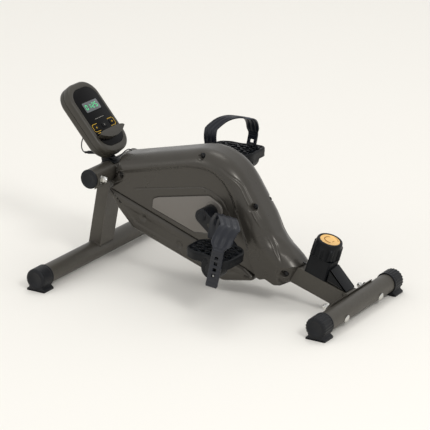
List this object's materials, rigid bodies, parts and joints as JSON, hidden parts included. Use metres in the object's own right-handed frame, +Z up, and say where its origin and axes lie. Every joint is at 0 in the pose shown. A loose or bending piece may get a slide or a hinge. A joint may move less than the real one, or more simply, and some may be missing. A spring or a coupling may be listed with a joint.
{
  "type": "pedal exerciser",
  "caption": "Under-desk pedal exerciser: belt-driven flywheel in a curved shroud on a tube frame with two stabilizers, strapped pedals, a tension knob and a console.",
  "frame": {"origin": "on the floor, midway along the overall length, in the machine's middle plane", "axes": "+X from the handle bar and console towards the seated user, +Y across the machine, +Z up"},
  "size_m": [0.7542, 0.496, 0.3951],
  "materials": {
    "frame_paint": "fine-textured satin powder coat",
    "cap_plastic": "moulded matte black",
    "bright_zinc": "bright zinc plate",
    "steel": "ground steel",
    "shroud_plastic": "satin metallic grey-brown moulding",
    "insert_plastic": "fine-grained satin warm grey",
    "black_steel": "black oxide",
    "black_plastic": "moulded satin black",
    "crank_paint": "satin black paint",
    "cable_black": "smooth black sleeve",
    "belt_rubber": "ribbed black rubber",
    "pulley_plastic": "glass-filled nylon",
    "strap_rubber": "soft satin dark grey",
    "cast_iron": "turned and oiled",
    "bracket_steel": "zinc-plated sheet",
    "magnet_black": "nickel-dark magnet",
    "gold_disc": "brushed gold foil",
    "face_gloss": "gloss black",
    "display": "grey display behind a clear window",
    "board_green": "green solder mask",
    "button_rubber": "soft black with a yellow outline"
  },
  "bodies": {
    "frame": {"front_stabilizer": "frame_paint", "rear_stabilizer": "frame_paint", "front_end_caps": "cap_plastic", "rear_end_caps": "cap_plastic", "front_post": "frame_paint", "handle_bar": "frame_paint", "bar_end_caps": "cap_plastic", "front_saddle": "frame_paint", "rear_saddle": "frame_paint", "main_tube": "frame_paint", "carriage_bolts": "bright_zinc", "washers": "bright_zinc", "dome_nuts": "bright_zinc", "bottom_bracket": "frame_paint", "crank_bearings": "steel", "flywheel_bracket": "frame_paint", "flywheel_bearings": "steel", "shroud_near": "shroud_plastic", "shroud_far": "shroud_plastic", "lower_cover_near": "shroud_plastic", "lower_cover_far": "shroud_plastic", "insert_near": "insert_plastic", "insert_far": "insert_plastic", "cover_screws": "black_steel", "knob_housing": "black_plastic", "tension_cable": "cable_black", "drive_belt": "belt_rubber", "return_spring": "steel", "speed_sensor": "black_plastic", "console_stalk": "black_plastic", "console_back": "shroud_plastic", "console_front": "shroud_plastic", "face_panel": "face_gloss", "display_window": "display", "phone_shelf": "shroud_plastic", "battery_cover": "black_plastic", "circuit_board": "board_green", "console_lead": "cable_black", "lead_plug": "black_plastic"},
    "crank": {"crank_axle": "steel", "crank_arm_near": "crank_paint", "crank_arm_far": "crank_paint", "crank_caps": "black_plastic", "pedal_spindles": "steel", "drive_pulley": "pulley_plastic", "sensor_magnet": "steel"},
    "pedal_near": {"pedal_near": "black_plastic", "strap_near": "strap_rubber"},
    "pedal_far": {"pedal_far": "black_plastic", "strap_far": "strap_rubber"},
    "flywheel": {"flywheel": "cast_iron", "flywheel_axle": "steel", "flywheel_pulley": "pulley_plastic"},
    "magnet_arm": {"magnet_bracket": "bracket_steel", "magnets": "magnet_black"},
    "knob": {"tension_knob": "black_plastic", "knob_disc": "gold_disc"},
    "button_left": {"button_left": "button_rubber"},
    "button_middle": {"button_middle": "button_rubber"},
    "button_right": {"button_right": "button_rubber"}
  },
  "joints": [
    {"name": "crank_spin", "type": "hinge", "parent": "frame", "child": "crank", "pos_m": [0.02898, 0, 0.18661], "axis": [0, 1, 0], "continuous": true},
    {"name": "pedal_near_spin", "type": "hinge", "parent": "crank", "child": "pedal_near", "pos_m": [0.0969, -0.145, 0.12757], "axis": [0, 1, 0], "continuous": true},
    {"name": "pedal_far_spin", "type": "hinge", "parent": "crank", "child": "pedal_far", "pos_m": [-0.03895, 0.145, 0.24566], "axis": [0, 1, 0], "continuous": true},
    {"name": "flywheel_spin", "type": "hinge", "parent": "frame", "child": "flywheel", "pos_m": [-0.09669, 0, 0.1763], "axis": [0, 1, 0], "continuous": true},
    {"name": "tension_turn", "type": "hinge", "parent": "frame", "child": "knob", "pos_m": [0.27715, 0, 0.11923], "axis": [0.2956, 0, 0.9553], "range_deg": [0, 280]},
    {"name": "magnet_swing", "type": "hinge", "parent": "frame", "child": "magnet_arm", "pos_m": [-0.03602, 0, 0.2507], "axis": [0, 1, 0], "range_deg": [0, 5], "stiffness_Nm_per_rad": 0.05},
    {"name": "button_left_press", "type": "slide", "parent": "frame", "child": "button_left", "axis": [-0.7547, 0, -0.6561], "range_m": [0, 0.0012], "stiffness_N_per_m": 400},
    {"name": "button_middle_press", "type": "slide", "parent": "frame", "child": "button_middle", "axis": [-0.7547, 0, -0.6561], "range_m": [0, 0.0012], "stiffness_N_per_m": 400},
    {"name": "button_right_press", "type": "slide", "parent": "frame", "child": "button_right", "axis": [-0.7547, 0, -0.6561], "range_m": [0, 0.0012], "stiffness_N_per_m": 400}
  ],
  "couplings": [
    {"joint": "flywheel_spin", "follows": "crank_spin", "ratio": 3.25},
    {"joint": "magnet_swing", "follows": "tension_turn", "ratio": 0.017857}
  ]
}
